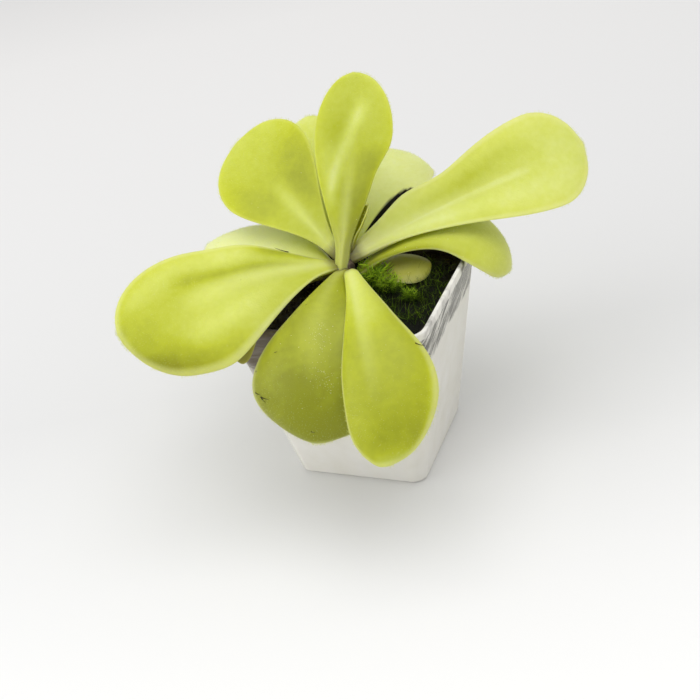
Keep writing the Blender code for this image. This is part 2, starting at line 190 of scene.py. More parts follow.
LEAVES = (
    Leaf("leaf_upright", 84.5, 42, 20.6, (58, 57), (34, 20), roll=(16, 1), radius=0.5, height=3.1,
         base_share=0.17, widest=0.64, taper=0.6, lean=-0.12, sweep=7,
         tone=(0.35, 0.5, 0.7), band=0.38, pillow=(0.6, 0.9), groove=(0.9, 0.1, 0.35),
         foot=(8.6, 3.6, 3.2), dew=10, flares=((-0.27, -1, -0.1, 0.62),), cream=0.55, glow=0.4,
         foot_tinge_shade=0.0,
         light_shade_streaks=((0.55, 0.7, -0.3, 0.2, 0.3, 0.82), (-0.3, -0.6, -0.7, 0.5, 0.12, 0.55),
                (0.3, 0.7, 0.6, 0.35, 0.2, 0.6))),
    Leaf("leaf_young", 50, 11, 4.5, (58, 50), (70, 50), radius=2.6, height=2.9,
         base_share=0.3, widest=0.6, tone=(0.1, 0.1, 0.1), band=0.0, pillow=(0.1, 0.1),
         groove=(0.3, 0.0, 0.5), foot=(2.4, 0.0, 1.4), dew=0),
    Leaf("leaf_back_left", 146.6, 44.2, 29, (32, 18), (60, 14), roll=(-38, -36), height=1.6,
         base_share=0.12, widest=0.65, taper=0.93, lean=-0.06,
         tone=(0.85, 0.4, 0.8), band=0.25, pillow=(1.4, 1.4), groove=(0.8, 0.0, 0.35), dew=12,
         glow=0.5,
         light_shade_streaks=((-0.15, -0.7, -0.7, 0.45, 0.15, 0.65), (-0.1, 0.7, 0.75, 0.3, 0.15, 0.7),
                (0.35, 0.05, 0.0, 0.18, 0.1, 0.55))),
    Leaf("leaf_long_right", 37.7, 61.9, 25.8, (15, 7), (55, 10), roll=(30, 53), height=0.6,
         base_share=0.13, widest=0.81, taper=1.05, tone=(1.18, 0.84, 1.18), pillow=(1.2, 1.6),
         groove=(0.5, 0.0, 0.2), dew=8, flares=((1.0, 1, -0.1, 0.43),), cream=1.0, glow=1.25,
         light_shade_streaks=((0.3, 0.0, -0.05, 0.07, 0.2, 0.75), (-0.2, 0.45, 0.5, 0.2, 0.3, 0.75),
                (0.2, -0.5, -0.5, 0.3, 0.2, 0.8))),
    Leaf("leaf_long_left", 224, 53.4, 32, (16.2, -16), (31, -14), roll=(-6, -43), height=-0.4,
         widest=0.68, taper=0.7, lean=0.14, tone=(0.65, 0.75, 0.35), pillow=(1.4, 2.8),
         groove=(1.5, -0.4, 0.25), flares=((0.25, -1, -0.15, 0.5), (0.14, 1, 0.05, 0.78)),
         foot=(4.4, 1.2, 2.0), cream=0.3, glow=1.2,
         light_shade_streaks=((-0.4, -0.25, -0.4, 0.18, 0.15, 0.7), (0.25, 0.05, 0.1, 0.14, 0.15, 0.7),
                (0.3, 0.5, 0.5, 0.18, 0.3, 0.75), (-0.4, 0.88, 0.85, 0.22, 0.5, 1.0),
                (0.3, -0.75, -0.6, 0.3, 0.3, 0.95), (-0.5, -0.9, -0.9, 0.25, 0.0, 0.32))),
    Leaf("leaf_front_left", 278, 50.2, 31.2, (16.8, -89), (20, -30), roll=(5, 0), height=-1.6,
         base_share=0.15, widest=0.74, taper=1.3, droop=1.2, sweep=-1.8,
         tone=(0.1, 0.15, -0.1), band=0.2, pillow=(2.2, 1.2), foot=(1.5, 0.0, 2.3), dew=40,
         flares=((-0.13, -1, -0.1, 0.57), (0.05, -1, 0.58, 1.1), (0.2, 1, 0.65, 1.2)),
         cream=0.3,
         light_shade_streaks=((0.2, -0.1, -0.05, 0.3, 0.3, 0.65), (0.08, 0.3, 0.2, 0.3, 0.1, 0.4)),
         beads=((0.5, 0.05, 2.4, 55), (0.56, 0.1, 1.6, 25), (0.68, 0.1, 2.0, 35),
                (0.73, 0.2, 1.4, 18))),
    Leaf("leaf_front_right", 300, 59.4, 21, (12.5, -67), (20, -30), roll=(12, 5), height=0.8,
         base_share=0.15, widest=0.75, taper=1.6, droop=1.1, lean=0.25, sweep=-9.5,
         tone=(1.2, 0.38, 0.3), pillow=(1.6, 2.2), foot=(6.4, 0.0, 2.3), dew=12, trim=0.115,
         dive=42, flares=((0.1, 1, 0.46, 0.92), (-0.15, -1, 0.15, 0.95)), foot_tinge_shade=1.1, glow=1.3,
         light_shade_streaks=((0.3, 0.3, 0.2, 0.5, 0.15, 0.5), (0.6, 0.97, 0.97, 0.1, 0.7, 1.1),
                (0.8, 0.4, 0.4, 1.0, 0.97, 1.2))),
    Leaf("leaf_low_right", 29.8, 43.7, 25.8, (18.8, -84), (21, -30), roll=(6, 19), radius=3.3,
         height=-3.2, base_share=0.11, widest=0.73, taper=1.45, droop=2.0, lean=0.18,
         tone=(0.3, 0.6, 1.15), band=0.1, pillow=(1.5, 2.0), dew=15, foot=(5.0, 0.0, 2.0),
         dive=10, foot_tinge_shade=0.2, flares=((-0.3, -1, -0.1, 0.62), (0.45, 1, -0.1, 0.66)), cream=0.1,
         trim=0.1,
         light_shade_streaks=((-0.6, 0.55, 0.5, 0.35, 0.1, 0.7), (0.25, -0.3, -0.2, 0.2, 0.2, 0.7)),
         beads=((0.5, -0.2, 3.0, 50),)),
    # tone above 1: painted light, for a leaf that the lamps light less
    Leaf("leaf_back_right", 85.6, 43.7, 24, (42, -12), (30, -10), roll=(-8, 19), height=-2.4,
         widest=0.77, taper=1.05, lean=0.06, tone=(1.05, 1.28, 1.35), pillow=(1.6, 1.0), dew=20,
         flares=((0.3, -1, -0.15, 0.78),), painted_slit_shade=True),
    Leaf("leaf_back", 118, 50, 18, (38, 10), (30, 0), height=-0.2, widest=0.64,
         tone=(0.9, 1.0, 1.1)),
    # tone well above 1: painted light on the part shaded by the leaf above
    Leaf("leaf_low_left", 169, 39.9, 22.8, (17, -14), (20, -30), roll=(-12, -10), radius=3.4,
         height=-2.3, widest=0.61, taper=0.66, lean=0.11, tone=(0.4, 1.7, 1.8), cream=0.0,
         pillow=(1.8, 1.4), dew=12),
    Leaf("leaf_under_left", 229.7, 36.9, 8.1, (7.6, -91), (0, 5), roll=(0, -6), radius=3.4,
         height=-1.9, base_share=0.15, widest=0.74, taper=1.1, droop=3.3, sweep=40,
         pillow=(0.5, 0.5), old=True),
    Leaf("leaf_under_back", 148, 36, 15, (10, -6), (20, -10), radius=3.4, height=-4.6,
         base_share=0.16, widest=0.64, pillow=(0.8, 0.8), old=True),
    Leaf("leaf_small", 28, 13, 12.5, (-1, -1), (10, -20), roll=(10, 10), radius=8.0, height=-5.0,
         base_share=0.5, widest=0.52, taper=0.7, tone=(1.0, 1.1, 1.1), pillow=(0.7, 0.7),
         foot=(0.6, 0.0, 1.6), old=True),
)


# Fibres and scraps caught on the leaves: leaf, then share and place across of both ends
FIBRES = (
    ("leaf_front_left", (0.775, -0.91), (0.795, -0.82)),
    ("leaf_front_left", (0.795, -0.82), (0.82, -0.77)),
    ("leaf_front_left", (0.795, -0.82), (0.80, -0.66)),
    ("leaf_front_left", (0.36, -0.55), (0.365, -0.42)),
    ("leaf_front_left", (0.6, -0.66), (0.605, -0.58)),
    ("leaf_front_left", (0.93, -0.1), (0.935, 0.0)),
    ("leaf_front_right", (0.6, 0.9), (0.61, 0.98)),
    ("leaf_long_left", (0.17, -0.97), (0.22, -0.98)),
    ("leaf_low_left", (0.38, -0.85), (0.4, -0.78)),
)
SCRAPS = (("leaf_low_left", (0.5, -1.0), (0.68, -0.95)),)


# ---------------------------------------------------------------- modelling

def start_edit(add, **settings):
    """Adds a primitive with nothing else selected, and opens it for editing."""
    bpy.ops.object.select_all(action="DESELECT")
    add(enter_editmode=True, **settings)
    bpy.ops.mesh.select_mode(type="VERT")
    return bpy.context.active_object


def pick(obj, test):
    """Selects the vertices that pass the test, with the edges and faces between them."""
    bm = bmesh.from_edit_mesh(obj.data)
    for part in (*bm.faces, *bm.edges, *bm.verts):
        part.select = False
    for vert in bm.verts:
        vert.select = bool(test(vert))
    bm.select_flush(True)
    bmesh.update_edit_mesh(obj.data)


def move(x=0.0, y=0.0, z=0.0):
    """Shifts the selection."""
    bpy.ops.transform.translate(value=(x, y, z))


def scale(x, y, z, centre=ORIGIN):
    """Sizes the selection from a centre."""
    bpy.ops.transform.resize(value=(x, y, z), center_override=centre)


def turn(degrees, axis, centre=ORIGIN):
    """Turns the selection counter-clockwise round the axis; with no window the sign is reversed."""
    bpy.ops.transform.rotate(value=-math.radians(degrees), orient_axis=axis,
                             center_override=centre)


def extrude(x=0.0, y=0.0, z=0.0):
    """Draws the selected faces out along a straight line."""
    bpy.ops.mesh.extrude_region_move(TRANSFORM_OT_translate={"value": (x, y, z)})


def finish_edit(obj, name):
    """Cleans the mesh, closes edit mode and names the piece, with its place in its mesh."""
    bpy.ops.mesh.select_all(action="SELECT")
    bpy.ops.mesh.remove_doubles(threshold=1e-6)
    bpy.ops.mesh.normals_make_consistent(inside=False)
    bpy.ops.object.mode_set(mode="OBJECT")
    bpy.ops.object.transform_apply(location=True, rotation=True, scale=True)
    obj.name = obj.data.name = name
    return obj


def modify(obj, kind, **settings):
    """Adds a modifier and applies it."""
    bpy.context.view_layer.objects.active = obj
    modifier = obj.modifiers.new(kind.lower(), kind)
    for key, value in settings.items():
        setattr(modifier, key, value)
    bpy.ops.object.modifier_apply(modifier=modifier.name)


def smooth(obj, degrees=180):
    """Shades a piece smooth, apart from edges that are sharper than the angle."""
    bpy.ops.object.select_all(action="DESELECT")
    obj.select_set(True)
    bpy.context.view_layer.objects.active = obj
    if degrees < 180:
        bpy.ops.object.shade_smooth_by_angle(angle=math.radians(degrees))
    else:
        bpy.ops.object.shade_smooth()


def clouds(name, size, depth=2):
    """A soft noise for displacing a surface; size is the width of one lump."""
    texture = bpy.data.textures.new(name, "CLOUDS")
    texture.noise_scale = size
    texture.noise_depth = depth
    return texture


def shape_of(obj):
    """Points and faces of a small model, which is then removed: it is the pattern for copies."""
    points = np.array([vert.co for vert in obj.data.vertices])
    faces = [tuple(face.vertices) for face in obj.data.polygons]
    bpy.data.objects.remove(obj, do_unlink=True)
    return points, faces


def paint(obj, name, values):
    """Gives each point of a piece a number that its material reads."""
    layer = obj.data.attributes.new(name, "FLOAT", "POINT")
    layer.data.foreach_set("value", np.asarray(values, np.float32))


def painted(obj, name):
    """The numbers that paint() gave to a piece's points."""
    values = np.empty(len(obj.data.vertices))
    obj.data.attributes[name].data.foreach_get("value", values)
    return values


def copies(name, shapes, places, number="", values=()):
    """One mesh that holds a copy of a shape at each place; places are (shape index, matrix).

    Each copy may be painted with a value of its own, under the name that number gives.
    """
    points, faces, count = [], [], 0
    for index, matrix in places:
        pattern, pattern_faces = shapes[index]
        m = np.array(matrix)
        points.append(pattern @ m[:3, :3].T + m[:3, 3])
        faces += [tuple(corner + count for corner in face) for face in pattern_faces]
        count += len(pattern)
    mesh = bpy.data.meshes.new(name)
    mesh.from_pydata(np.concatenate(points).tolist(), [], faces)
    obj = bpy.data.objects.new(name, mesh)
    bpy.context.scene.collection.objects.link(obj)
    if number:
        paint(obj, number, np.repeat(values, [len(shapes[index][0]) for index, _ in places]))
    return obj


def standing(point, direction, size, spin=0.0):
    """The place of a shape that is modelled along +Z, stood along a direction."""
    turned = Vector(direction).to_track_quat("Z", "Y").to_matrix().to_4x4()
    return (Matrix.Translation(point) @ turned @ Matrix.Rotation(spin, 4, "Z")
            @ Matrix.Diagonal((*size, 1)))


# ---------------------------------------------------------------- materials

def linear(colour):
    """An sRGB hex value as linear RGBA."""
    channels = [int(colour[i:i + 2], 16) / 255 for i in (1, 3, 5)]
    return (*[c / 12.92 if c <= 0.04045 else ((c + 0.055) / 1.055) ** 2.4 for c in channels], 1.0)


def node(tree, kind, inputs=None, output=0, stops=(), **settings):
    """Adds a node and gives one of its outputs.

    An input given as a socket is linked, and one given as a value or a hex colour is set. Stops
    are a colour ramp's positions, each with a hex colour, or with a grey level where the ramp
    stands for a number.
    """
    new = tree.nodes.new("ShaderNode" + kind)
    for key, value in settings.items():
        setattr(new.color_ramp if stops else new, key, value)
    for key, value in (inputs or {}).items():
        if isinstance(value, bpy.types.NodeSocket):
            tree.links.new(value, new.inputs[key])
        else:
            new.inputs[key].default_value = linear(value) if isinstance(value, str) else value
    if stops:
        elements = new.color_ramp.elements
        while len(elements) < len(stops):
            elements.new(0.5)
        for element, (position, value) in zip(elements, stops):
            element.position = position
            element.color = linear(value) if isinstance(value, str) else (value, value, value, 1)
    return new.outputs[output]


def material(name, **constants):
    """Gives a material, its nodes, its shader with the constants set, and Object coordinates."""
    new = bpy.data.materials.new(name)
    new.use_nodes = True
    tree = new.node_tree
    shader = tree.nodes["Principled BSDF"]
    for key, value in constants.items():
        shader.inputs[key.replace("_", " ")].default_value = value
    return new, tree, shader, node(tree, "TexCoord", output="Object")


def leaf_material(name, deep, mid, pale, painted_light_pale, midrib, foot, edge):
    """Living butterwort leaf: thin fleshy tissue under a coat of short sticky glands.

    It gives a satin yellow-green that is paler along the midrib and at the foot, with painted light
    and shade in its tone and a painted glow at the margin; it lets some light through, and shows a
    fine grain of glands.
    """
    surface, tree, shader, where = material(
        name, Roughness=0.42, IOR=1.42, Subsurface_Weight=0.7, Subsurface_Scale=2.4 * MM,
        Subsurface_Radius=(1.0, 0.9, 0.15), Sheen_Weight=0.07, Sheen_Roughness=0.4,
        Sheen_Tint=linear("#FBFBD6"))
    share, across, out, tone, band, cream, foot_tinge_shade, painted_slit_shade = (
        node(tree, "Attribute", output="Fac", attribute_name=key) for key in
        ("share", "across", "out", "tone", "band", "cream", "foot_tinge_shade", "painted_slit_shade"))
    off = node(tree, "Math", {0: across}, operation="ABSOLUTE")
    # broad mottling in lumps of about 9 mm, and a finer one of about 1.5 mm
    broad = node(tree, "TexNoise", {"Vector": where, "Scale": 1 / (9.1 * MM), "Detail": 2.0})
    fine = node(tree, "TexNoise", {"Vector": where, "Scale": 1 / (1.54 * MM), "Detail": 3.0})
    level = node(tree, "MapRange", {0: broad, 1: 0.3, 2: 0.7, 3: -0.08, 4: 0.08})
    level = node(tree, "Math", {0: tone, 1: level}, operation="ADD")
    grain = node(tree, "MapRange", {0: fine, 1: 0.3, 2: 0.7, 3: -0.05, 4: 0.05})
    level = node(tree, "Math", {0: level, 1: grain}, operation="ADD")
    level = node(tree, "MapRange", {0: level, 1: 0.0, 2: 1.5, 3: 0.0, 4: 1.0})
    # the palest stop, reached by tones above 1, is painted light
    shade = node(tree, "ValToRGB", {0: level},
                 stops=((0.0, deep), (0.333, mid), (0.667, pale), (1.0, painted_light_pale)))
    # midrib band: wide at the foot and gone past the middle of the blade
    width = node(tree, "ValToRGB", {0: share}, stops=((0.0, 0.95), (0.3, 0.5), (0.8, 0.16)))
    core = node(tree, "Math", {0: off, 1: width}, operation="DIVIDE")
    core = node(tree, "ValToRGB", {0: core}, stops=((0.0, 1), (1.0, 0)), interpolation="EASE")
    fade = node(tree, "ValToRGB", {0: share}, stops=((0.2, 1), (0.8, 0)))
    core = node(tree, "Math", {0: core, 1: fade}, operation="MULTIPLY")
    core = node(tree, "Math", {0: core, 1: band}, operation="MULTIPLY")
    shade = node(tree, "Mix", {0: core, 6: shade, 7: midrib}, 2, data_type="RGBA")
    # margin: a painted glow, as of light let through the thin margin
    rim = node(tree, "ValToRGB", {0: out}, stops=((0.9, 0), (1.0, 0.42)), interpolation="EASE")
    shade = node(tree, "Mix", {0: rim, 6: shade, 7: edge}, 2, data_type="RGBA")
    # cream at the foot, a brown tinge with painted crease shade where the leaf leaves the crown,
    # and a painted dark strip of shade along one margin
    for part, colour in ((cream, foot), (foot_tinge_shade, "#4C3E14"), (painted_slit_shade, "#14110A")):
        shade = node(tree, "Mix", {0: part, 6: shade, 7: colour}, 2, data_type="RGBA")
    # the painted shade strip also loses its specular reflection, so it stays dark
    shine = node(tree, "ValToRGB", {0: painted_slit_shade}, stops=((0.0, 0.5), (1.0, 0.05)))
    tree.links.new(shine, shader.inputs["Specular IOR Level"])
    # specks of dust and caught gnats, up to 0.5 mm wide, in about one cell of 3.85 mm in twenty
    speck = node(tree, "TexVoronoi", {"Vector": where, "Scale": 1 / (3.85 * MM)})
    some = node(tree, "SeparateColor", {0: speck.node.outputs["Color"]})
    some = node(tree, "Math", {0: some, 1: 0.955}, operation="GREATER_THAN")
    speck = node(tree, "ValToRGB", {0: speck}, stops=((0.05, 1), (0.085, 0)))
    speck = node(tree, "Math", {0: speck, 1: some}, operation="MULTIPLY")
    shade = node(tree, "Mix", {0: speck, 6: shade, 7: "#4A4420"}, 2, data_type="RGBA")
    tree.links.new(shade, shader.inputs["Base Color"])
    # gland grain, about 0.4 mm apart, and the soft swell of the tissue
    glands = node(tree, "TexNoise", {"Vector": where, "Scale": 1 / (0.385 * MM), "Detail": 1.0})
    bump = node(tree, "Bump", {"Strength": 0.35, "Distance": 0.1 * MM, "Height": glands})
    swell = node(tree, "Bump", {"Strength": 0.25, "Distance": 0.2 * MM, "Height": fine,
                                "Normal": bump})
    tree.links.new(swell, shader.inputs["Normal"])
    return surface


def hair_material():
    """Stalked glands: clear stalks with a bead of mucilage, which read as a pale soft pile."""
    surface, tree, shader, where = material("gland_hair", Roughness=0.35, IOR=1.4)
    patches = node(tree, "TexNoise", {"Vector": where, "Scale": 1 / (3.33 * MM)})
    shade = node(tree, "ValToRGB", {0: patches}, stops=((0.35, "#D3DA72"), (0.7, "#E4E89C")))
    tree.links.new(shade, shader.inputs["Base Color"])
    return surface


def dew_material():
    """Beads of clear mucilage, coloured pale: painted glints that read as bright wet grains."""
    surface, tree, shader, where = material(
        "mucilage", Roughness=0.08, IOR=1.36, Subsurface_Weight=0.5, Subsurface_Scale=0.4 * MM,
        Subsurface_Radius=(1.0, 1.0, 0.6))
    ripple = node(tree, "TexNoise", {"Vector": where, "Scale": 1 / (0.25 * MM)})
    # pale yellow-white base colour: painted glints
    shade = node(tree, "ValToRGB", {0: ripple}, stops=((0.35, "#DDE38A"), (0.7, "#F6F8C4")))
    tree.links.new(shade, shader.inputs["Base Color"])
    bump = node(tree, "Bump", {"Strength": 0.2, "Distance": 0.03 * MM, "Height": ripple})
    tree.links.new(bump, shader.inputs["Normal"])
    return surface


def debris_material():
    """Bits of dead leaf and fibre: dark brown where wet, papery grey where dry."""
    surface, tree, shader, where = material("plant_debris", Roughness=0.8)
    pale = node(tree, "Attribute", output="Fac", attribute_name="pale")
    grain = node(tree, "TexNoise", {"Vector": where, "Scale": 1 / (0.667 * MM), "Detail": 3.0})
    wet = node(tree, "ValToRGB", {0: grain}, stops=((0.35, "#1E180E"), (0.7, "#44391F")))
    dry = node(tree, "ValToRGB", {0: grain}, stops=((0.35, "#9A9984"), (0.7, "#CFCEBE")))
    shade = node(tree, "Mix", {0: pale, 6: wet, 7: dry}, 2, data_type="RGBA")
    tree.links.new(shade, shader.inputs["Base Color"])
    return surface


def pot_material():
    """Injection-moulded polypropylene, white with grey marbling, thin and slightly translucent.

    It gives a satin off-white with a dark brushed band under the rim, painted shade high on the
    front wall, and an inner wall that is darker towards the soil.
    """
    surface, tree, shader, where = material(
        "pot_polypropylene", Roughness=0.24, IOR=1.49, Subsurface_Weight=0.25,
        Subsurface_Scale=2.0 * MM, Subsurface_Radius=(1.0, 0.95, 0.9))
    x, y, height = node(tree, "SeparateXYZ", {0: where}).node.outputs
    # brush-like streaks about 1.25 mm across and 8 mm long, leaning a little off the rim
    leaning = node(tree, "Mapping", {"Vector": where, "Rotation": (-0.4, 0.12, 0.0)})
    drawn = node(tree, "Mapping", {"Vector": leaning, "Scale": (0.16, 0.14, 1.0)})
    streak = node(tree, "TexNoise", {"Vector": drawn, "Scale": 1 / (1.25 * MM), "Detail": 6.0,
                                     "Roughness": 0.7, "Distortion": 0.25})
    streak = node(tree, "ValToRGB", {0: streak}, stops=((0.36, 0), (0.55, 1)))
    # the melt's grey gathers below the rim band in clouds of about 8 mm and thins out downwards
    cloud = node(tree, "TexNoise", {"Vector": where, "Scale": 1 / (7.7 * MM), "Detail": 3.0})
    low = node(tree, "MapRange", {0: height, 1: 33 * MM, 2: 40 * MM, 3: -0.3, 4: 0.27})
    band = node(tree, "MapRange", {0: height, 1: 45.7 * MM, 2: 46.3 * MM, 3: 0.0, 4: -0.31})
    level = node(tree, "Math", {0: low, 1: band}, operation="ADD")
    cover = node(tree, "Math", {0: cloud, 1: level}, operation="ADD")
    cover = node(tree, "ValToRGB", {0: cover}, stops=((0.38, 0), (0.58, 1)), interpolation="EASE")
    share = node(tree, "Math", {0: streak, 1: cover}, operation="MULTIPLY")
    body = node(tree, "ValToRGB", {0: cloud}, stops=((0.3, "#F0EDE5"), (0.7, "#F9F7F3")))
    shade = node(tree, "Mix", {0: share, 6: body, 7: "#605F5B"}, 2, data_type="RGBA")
    # painted shade, browner, high on the front wall by its left corner, with a ragged lower edge
    left = node(tree, "MapRange", {0: x, 1: -2 * MM, 2: -9 * MM, 3: 0.0, 4: 1.0})
    front = node(tree, "MapRange", {0: y, 1: 4 * MM, 2: -12 * MM, 3: 0.0, 4: 1.0})
    sunk = node(tree, "Math", {0: cloud, 1: -9 * MM}, operation="MULTIPLY")
    sunk = node(tree, "Math", {0: height, 1: sunk}, operation="ADD")
    high = node(tree, "MapRange", {0: sunk, 1: 26.5 * MM, 2: 32.5 * MM, 3: 0.0, 4: 0.9})
    front_wall_shade = node(tree, "Math", {0: left, 1: high}, operation="MULTIPLY")
    front_wall_shade = node(tree, "Math", {0: front_wall_shade, 1: front}, operation="MULTIPLY")
    shade = node(tree, "Mix", {0: front_wall_shade, 6: shade, 7: "#625444"}, 2, data_type="RGBA")
    # the inner wall darker towards the soil, clean just under the rim
    inside = node(tree, "Attribute", output="Fac", attribute_name="inside")
    ragged = node(tree, "Math", {0: cloud, 1: 3 * MM}, operation="MULTIPLY")
    ragged = node(tree, "Math", {0: height, 1: ragged}, operation="ADD")
    wet = node(tree, "MapRange", {0: ragged, 1: 48.6 * MM, 2: 47.8 * MM, 3: 0.0, 4: 0.95})
    inner_darkening = node(tree, "Math", {0: inside, 1: wet}, operation="MULTIPLY")
    shade = node(tree, "Mix", {0: inner_darkening, 6: shade, 7: "#2B2218"}, 2, data_type="RGBA")
    tree.links.new(shade, shader.inputs["Base Color"])
    # the moulded skin's faint waves, about 1.1 mm apart
    skin = node(tree, "TexNoise", {"Vector": where, "Scale": 1 / (1.11 * MM), "Detail": 2.0})
    bump = node(tree, "Bump", {"Strength": 0.25, "Distance": 0.06 * MM, "Height": skin})
    tree.links.new(bump, shader.inputs["Normal"])
    return surface


def peat_material():
    """Moist peat and bark fines: nearly black, rough, with a few damp glints."""
    surface, tree, shader, where = material("moist_peat", IOR=1.45, Specular_IOR_Level=0.3)
    grains = node(tree, "TexNoise", {"Vector": where, "Scale": 1 / (1.11 * MM), "Detail": 5.0})
    shade = node(tree, "ValToRGB", {0: grains},
                 stops=((0.35, "#0D0906"), (0.58, "#211810"), (0.8, "#443521")))
    tree.links.new(shade, shader.inputs["Base Color"])
    damp = node(tree, "MapRange", {0: grains, 1: 0.3, 2: 0.7, 3: 0.45, 4: 0.95})
    tree.links.new(damp, shader.inputs["Roughness"])
    bump = node(tree, "Bump", {"Strength": 0.8, "Distance": 0.3 * MM, "Height": grains})
    tree.links.new(bump, shader.inputs["Normal"])
    return surface


def moss_material():
    """Living sheet moss: thin translucent shoots, bright where they are young, dark where old."""
    surface, tree, shader, where = material(
        "living_moss", Roughness=0.6, Specular_IOR_Level=0.15, Subsurface_Weight=0.2,
        Subsurface_Scale=0.6 * MM, Subsurface_Radius=(0.6, 1.0, 0.2))
    young = node(tree, "Attribute", output="Fac", attribute_name="young")
    patches = node(tree, "TexNoise", {"Vector": where, "Scale": 1 / (3.85 * MM), "Detail": 3.0})
    level = node(tree, "MapRange", {0: patches, 1: 0.3, 2: 0.7, 3: -0.15, 4: 0.15})
    level = node(tree, "Math", {0: young, 1: level}, operation="ADD")
    shade = node(tree, "ValToRGB", {0: level},
                 stops=((0.0, "#070903"), (0.25, "#1A2408"), (0.55, "#547610"), (0.95, "#B2D432")))
    tree.links.new(shade, shader.inputs["Base Color"])
    return surface


def crown_material():
    """The crown's corky tissue: dark scars of old leaves over duller flesh."""
    surface, tree, shader, where = material("crown_tissue", Roughness=0.6)
    scars = node(tree, "TexNoise", {"Vector": where, "Scale": 1 / (1.43 * MM), "Detail": 4.0})
    shade = node(tree, "ValToRGB", {0: scars},
                 stops=((0.35, "#231A14"), (0.55, "#47382B"), (0.75, "#786A4E")))
    tree.links.new(shade, shader.inputs["Base Color"])
    bump = node(tree, "Bump", {"Strength": 0.6, "Distance": 0.2 * MM, "Height": scars})
    tree.links.new(bump, shader.inputs["Normal"])
    return surface


# ---------------------------------------------------------------- leaves

def stations(leaf):
    """Shares of the length at which the rows stand; the first two lie inside the crown."""
    body = [leaf.trim + (leaf.widest - leaf.trim) * k / BODY_ROWS for k in range(BODY_ROWS)]
    reach = [math.sin(math.radians(TIP_ANGLE * k / TIP_ROWS)) for k in range(TIP_ROWS + 1)]
    tip = [leaf.widest + (1 - leaf.widest) * share for share in reach]
    return [leaf.trim - leaf.foot[0] * run / leaf.length for run in FOOT_RUNS] + body + tip


def half_width(leaf, share):
    """Obovate outline, drawn in a little for the hairs."""
    widest = leaf.width * MM / 2 - PILE_ROOM
    if share < leaf.widest:
        along = max(0.0, share / leaf.widest)
        rise = (along * along * (3 - 2 * along)) ** leaf.taper
        blade = widest * (leaf.base_share + (1 - leaf.base_share) * rise)
        foot = leaf.foot[1] / 2 * MM * (1 - max(0.0, share) / FOOT_BLEND)
        into = max(0.0, (leaf.trim - share) * leaf.length / leaf.foot[0])
        return max(blade, foot) * (1 - FOOT_TAPER * into**2)
    past = (share - leaf.widest) / (1 - leaf.widest)
    return widest * math.sqrt(max(0.0, 1 - past * past))


def heading(leaf, share):
    """Pitch and sideways bend at a share of the length, in radians."""
    hidden = leaf.dive * min(1.0, max(0.0, leaf.trim - share) / DIVE_RUN)
    share = max(0.0, share)
    pitch = leaf.pitch[0] + (leaf.pitch[1] - leaf.pitch[0]) * share**leaf.droop + hidden
    return math.radians(pitch), math.radians(leaf.sweep * share)


def ahead(leaf, share):
    """The midrib's direction at a share of the length."""
    pitch, bend = heading(leaf, share)
    return Vector((math.cos(pitch) * math.cos(bend), math.cos(pitch) * math.sin(bend),
                   math.sin(pitch)))


def midrib(leaf, shares, steps=60):
    """The midrib's points at the shares, before the leaf is turned to its azimuth."""
    length = leaf.length * MM - PILE_ROOM
    path = [Vector((leaf.radius, 0, leaf.height)) * MM]
    level = leaf._replace(dive=0.0)
    for index in range(steps):
        path.append(path[-1] + ahead(level, index / steps) * length / steps)

    def at(share):
        index = min(int(share * steps), steps - 1)
        return path[index].lerp(path[index + 1], share * steps - index)

    inward = ahead(leaf, leaf.trim - DIVE_RUN)
    return [at(share) if share >= leaf.trim
            else at(leaf.trim) + inward * (share - leaf.trim) * length for share in shares]


def ease(low, high, value):
    """A smooth rise from 0 at low to 1 at high."""
    share = min(1.0, max(0.0, (value - low) / (high - low)))
    return share * share * (3 - 2 * share)


def flare(leaf, side, share):
    """Widening of one half of the blade; each of the leaf's flares eases in and out."""
    return 1 + sum(amount * ease(start, start + FLARE_IN, share)
                   * (1 - ease(end - FLARE_OUT, end, share))
                   for amount, on, start, end in leaf.flares if on == side)


def across_of(column):
    """Place of a column across the leaf, -1 to 1: the columns close up towards the margins."""
    return math.sin(math.pi * (column / COLUMNS - 0.5))


